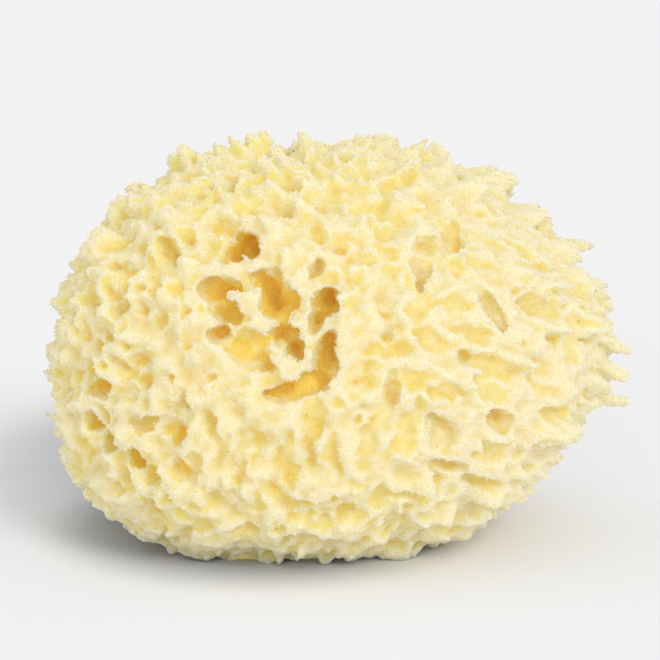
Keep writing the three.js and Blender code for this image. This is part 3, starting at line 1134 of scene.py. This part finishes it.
# %% Floor and light
FLOOR_SIZE = 60.0
PAPER_ROUGHNESS = 0.9
WHITE = (1.0, 1.0, 1.0, 1.0)
FLOOR_GREY = (0.900, 0.900, 0.902, 1.0)
# A faint painted cool tint, which takes up the yellow light that the sponge throws on the paper.
BOUNCE_COUNTER_TINT = (0.890, 0.912, 0.975, 1.0)
BOUNCE_COUNTER_FROM = 1.0
BOUNCE_COUNTER_TO = 2.8
# A painted contact shadow: the paper is painted cool and dark close to the sponge.
COOL_CONTACT_SHADE = (0.51, 0.54, 0.615, 1.0)
CONTACT_SHADE_MIDDLE = (-17.0 * MM, 3.0 * MM, 0.0)
CONTACT_SHADE_SIZE = (50.0 * MM, 54.0 * MM)
CONTACT_SHADE_FROM = 0.66
CONTACT_SHADE_TO = 1.08
SHADE = (0.64, 0.64, 0.646, 1.0)
SHADE_MIDDLE = (-35.0 * MM, 84.0 * MM, 0.0)
SHADE_SIZE = (60.0 * MM, 100.0 * MM)
SHADE_FROM = 0.30
SHADE_TO = 1.15
ROOM_LIGHT = 0.76
ROOM_SEEN = 0.888
KEY_FROM = (0.45, -0.68, 0.50)
KEY_STRENGTH = 1.1
KEY_SOFTNESS_DEG = 26.0
LEVEL_FROM = (-0.18, -0.97, 0.14)
LEVEL_STRENGTH = 0.84
LEVEL_SOFTNESS_DEG = 40.0
DIFFUSE_BOUNCES = 8

bpy.ops.mesh.primitive_plane_add(size=FLOOR_SIZE)
floor = bpy.context.object
floor.name = "floor"
paper = bpy.data.materials.new("paper")
paper.use_nodes = True
paper_shader = paper.node_tree.nodes["Principled BSDF"]
s = Sheet(paper.node_tree)
place = s.node("ShaderNodeTexCoord", out="Object")


def apart(middle, size):
    """How far a place on the floor is from the middle, counted in half sizes of an oval."""
    shifted = s.vector("SUBTRACT", place, middle)
    squeezed = s.vector("MULTIPLY", shifted, (1 / size[0], 1 / size[1], 0.0))
    return s.vector("LENGTH", squeezed, out="Value")


from_sponge = apart(CONTACT_SHADE_MIDDLE, CONTACT_SHADE_SIZE)
# The painted cool tint that takes up the sponge's yellow bounce light.
bounce_countered = s.mixed(s.fade(from_sponge, BOUNCE_COUNTER_FROM, BOUNCE_COUNTER_TO), BOUNCE_COUNTER_TINT, FLOOR_GREY)
# The painted contact shadow, cool and dark close to the sponge.
contact_shaded = s.mixed(s.fade(from_sponge, CONTACT_SHADE_FROM, CONTACT_SHADE_TO), COOL_CONTACT_SHADE, bounce_countered)
shaded = s.mixed(s.fade(apart(SHADE_MIDDLE, SHADE_SIZE), SHADE_FROM, SHADE_TO), SHADE, WHITE)
s.tree.links.new(s.vector("MULTIPLY", contact_shaded, shaded), paper_shader.inputs["Base Color"])
paper_shader.inputs["Roughness"].default_value = PAPER_ROUGHNESS
paper_shader.inputs["Specular IOR Level"].default_value = 0.0
floor.data.materials.append(paper)
floor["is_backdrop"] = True

room = bpy.data.worlds.new("room")
bpy.context.scene.world = room
room.use_nodes = True
s = Sheet(room.node_tree)
background = room.node_tree.nodes["Background"]
background.inputs["Color"].default_value = WHITE
seen = s.node("ShaderNodeLightPath", out="Is Camera Ray")
strength = s.node("ShaderNodeMapRange", {0: seen, 3: ROOM_LIGHT, 4: ROOM_SEEN})
s.tree.links.new(strength, background.inputs["Strength"])


def sun(name, comes_from, energy, softness_deg):
    lamp = bpy.data.lights.new(name, "SUN")
    lamp.energy = energy
    lamp.angle = math.radians(softness_deg)
    holder = bpy.data.objects.new(name, lamp)
    holder.rotation_euler = (-Vector(comes_from)).to_track_quat("-Z", "Y").to_euler()
    bpy.context.scene.collection.objects.link(holder)


sun("key", KEY_FROM, KEY_STRENGTH, KEY_SOFTNESS_DEG)
sun("level", LEVEL_FROM, LEVEL_STRENGTH, LEVEL_SOFTNESS_DEG)
bpy.context.scene.view_settings.view_transform = "Standard"
bpy.context.scene.cycles.diffuse_bounces = DIFFUSE_BOUNCES

# %% [markdown]
# ## Size
#
# The body was fitted to the frame, so its visual box is printed here, to set beside the frame's size printed
# at the start.

# %% Size
low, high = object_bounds()
print("Visual box, in mm:", [round(v / MM, 1) for v in (*low, *high)])
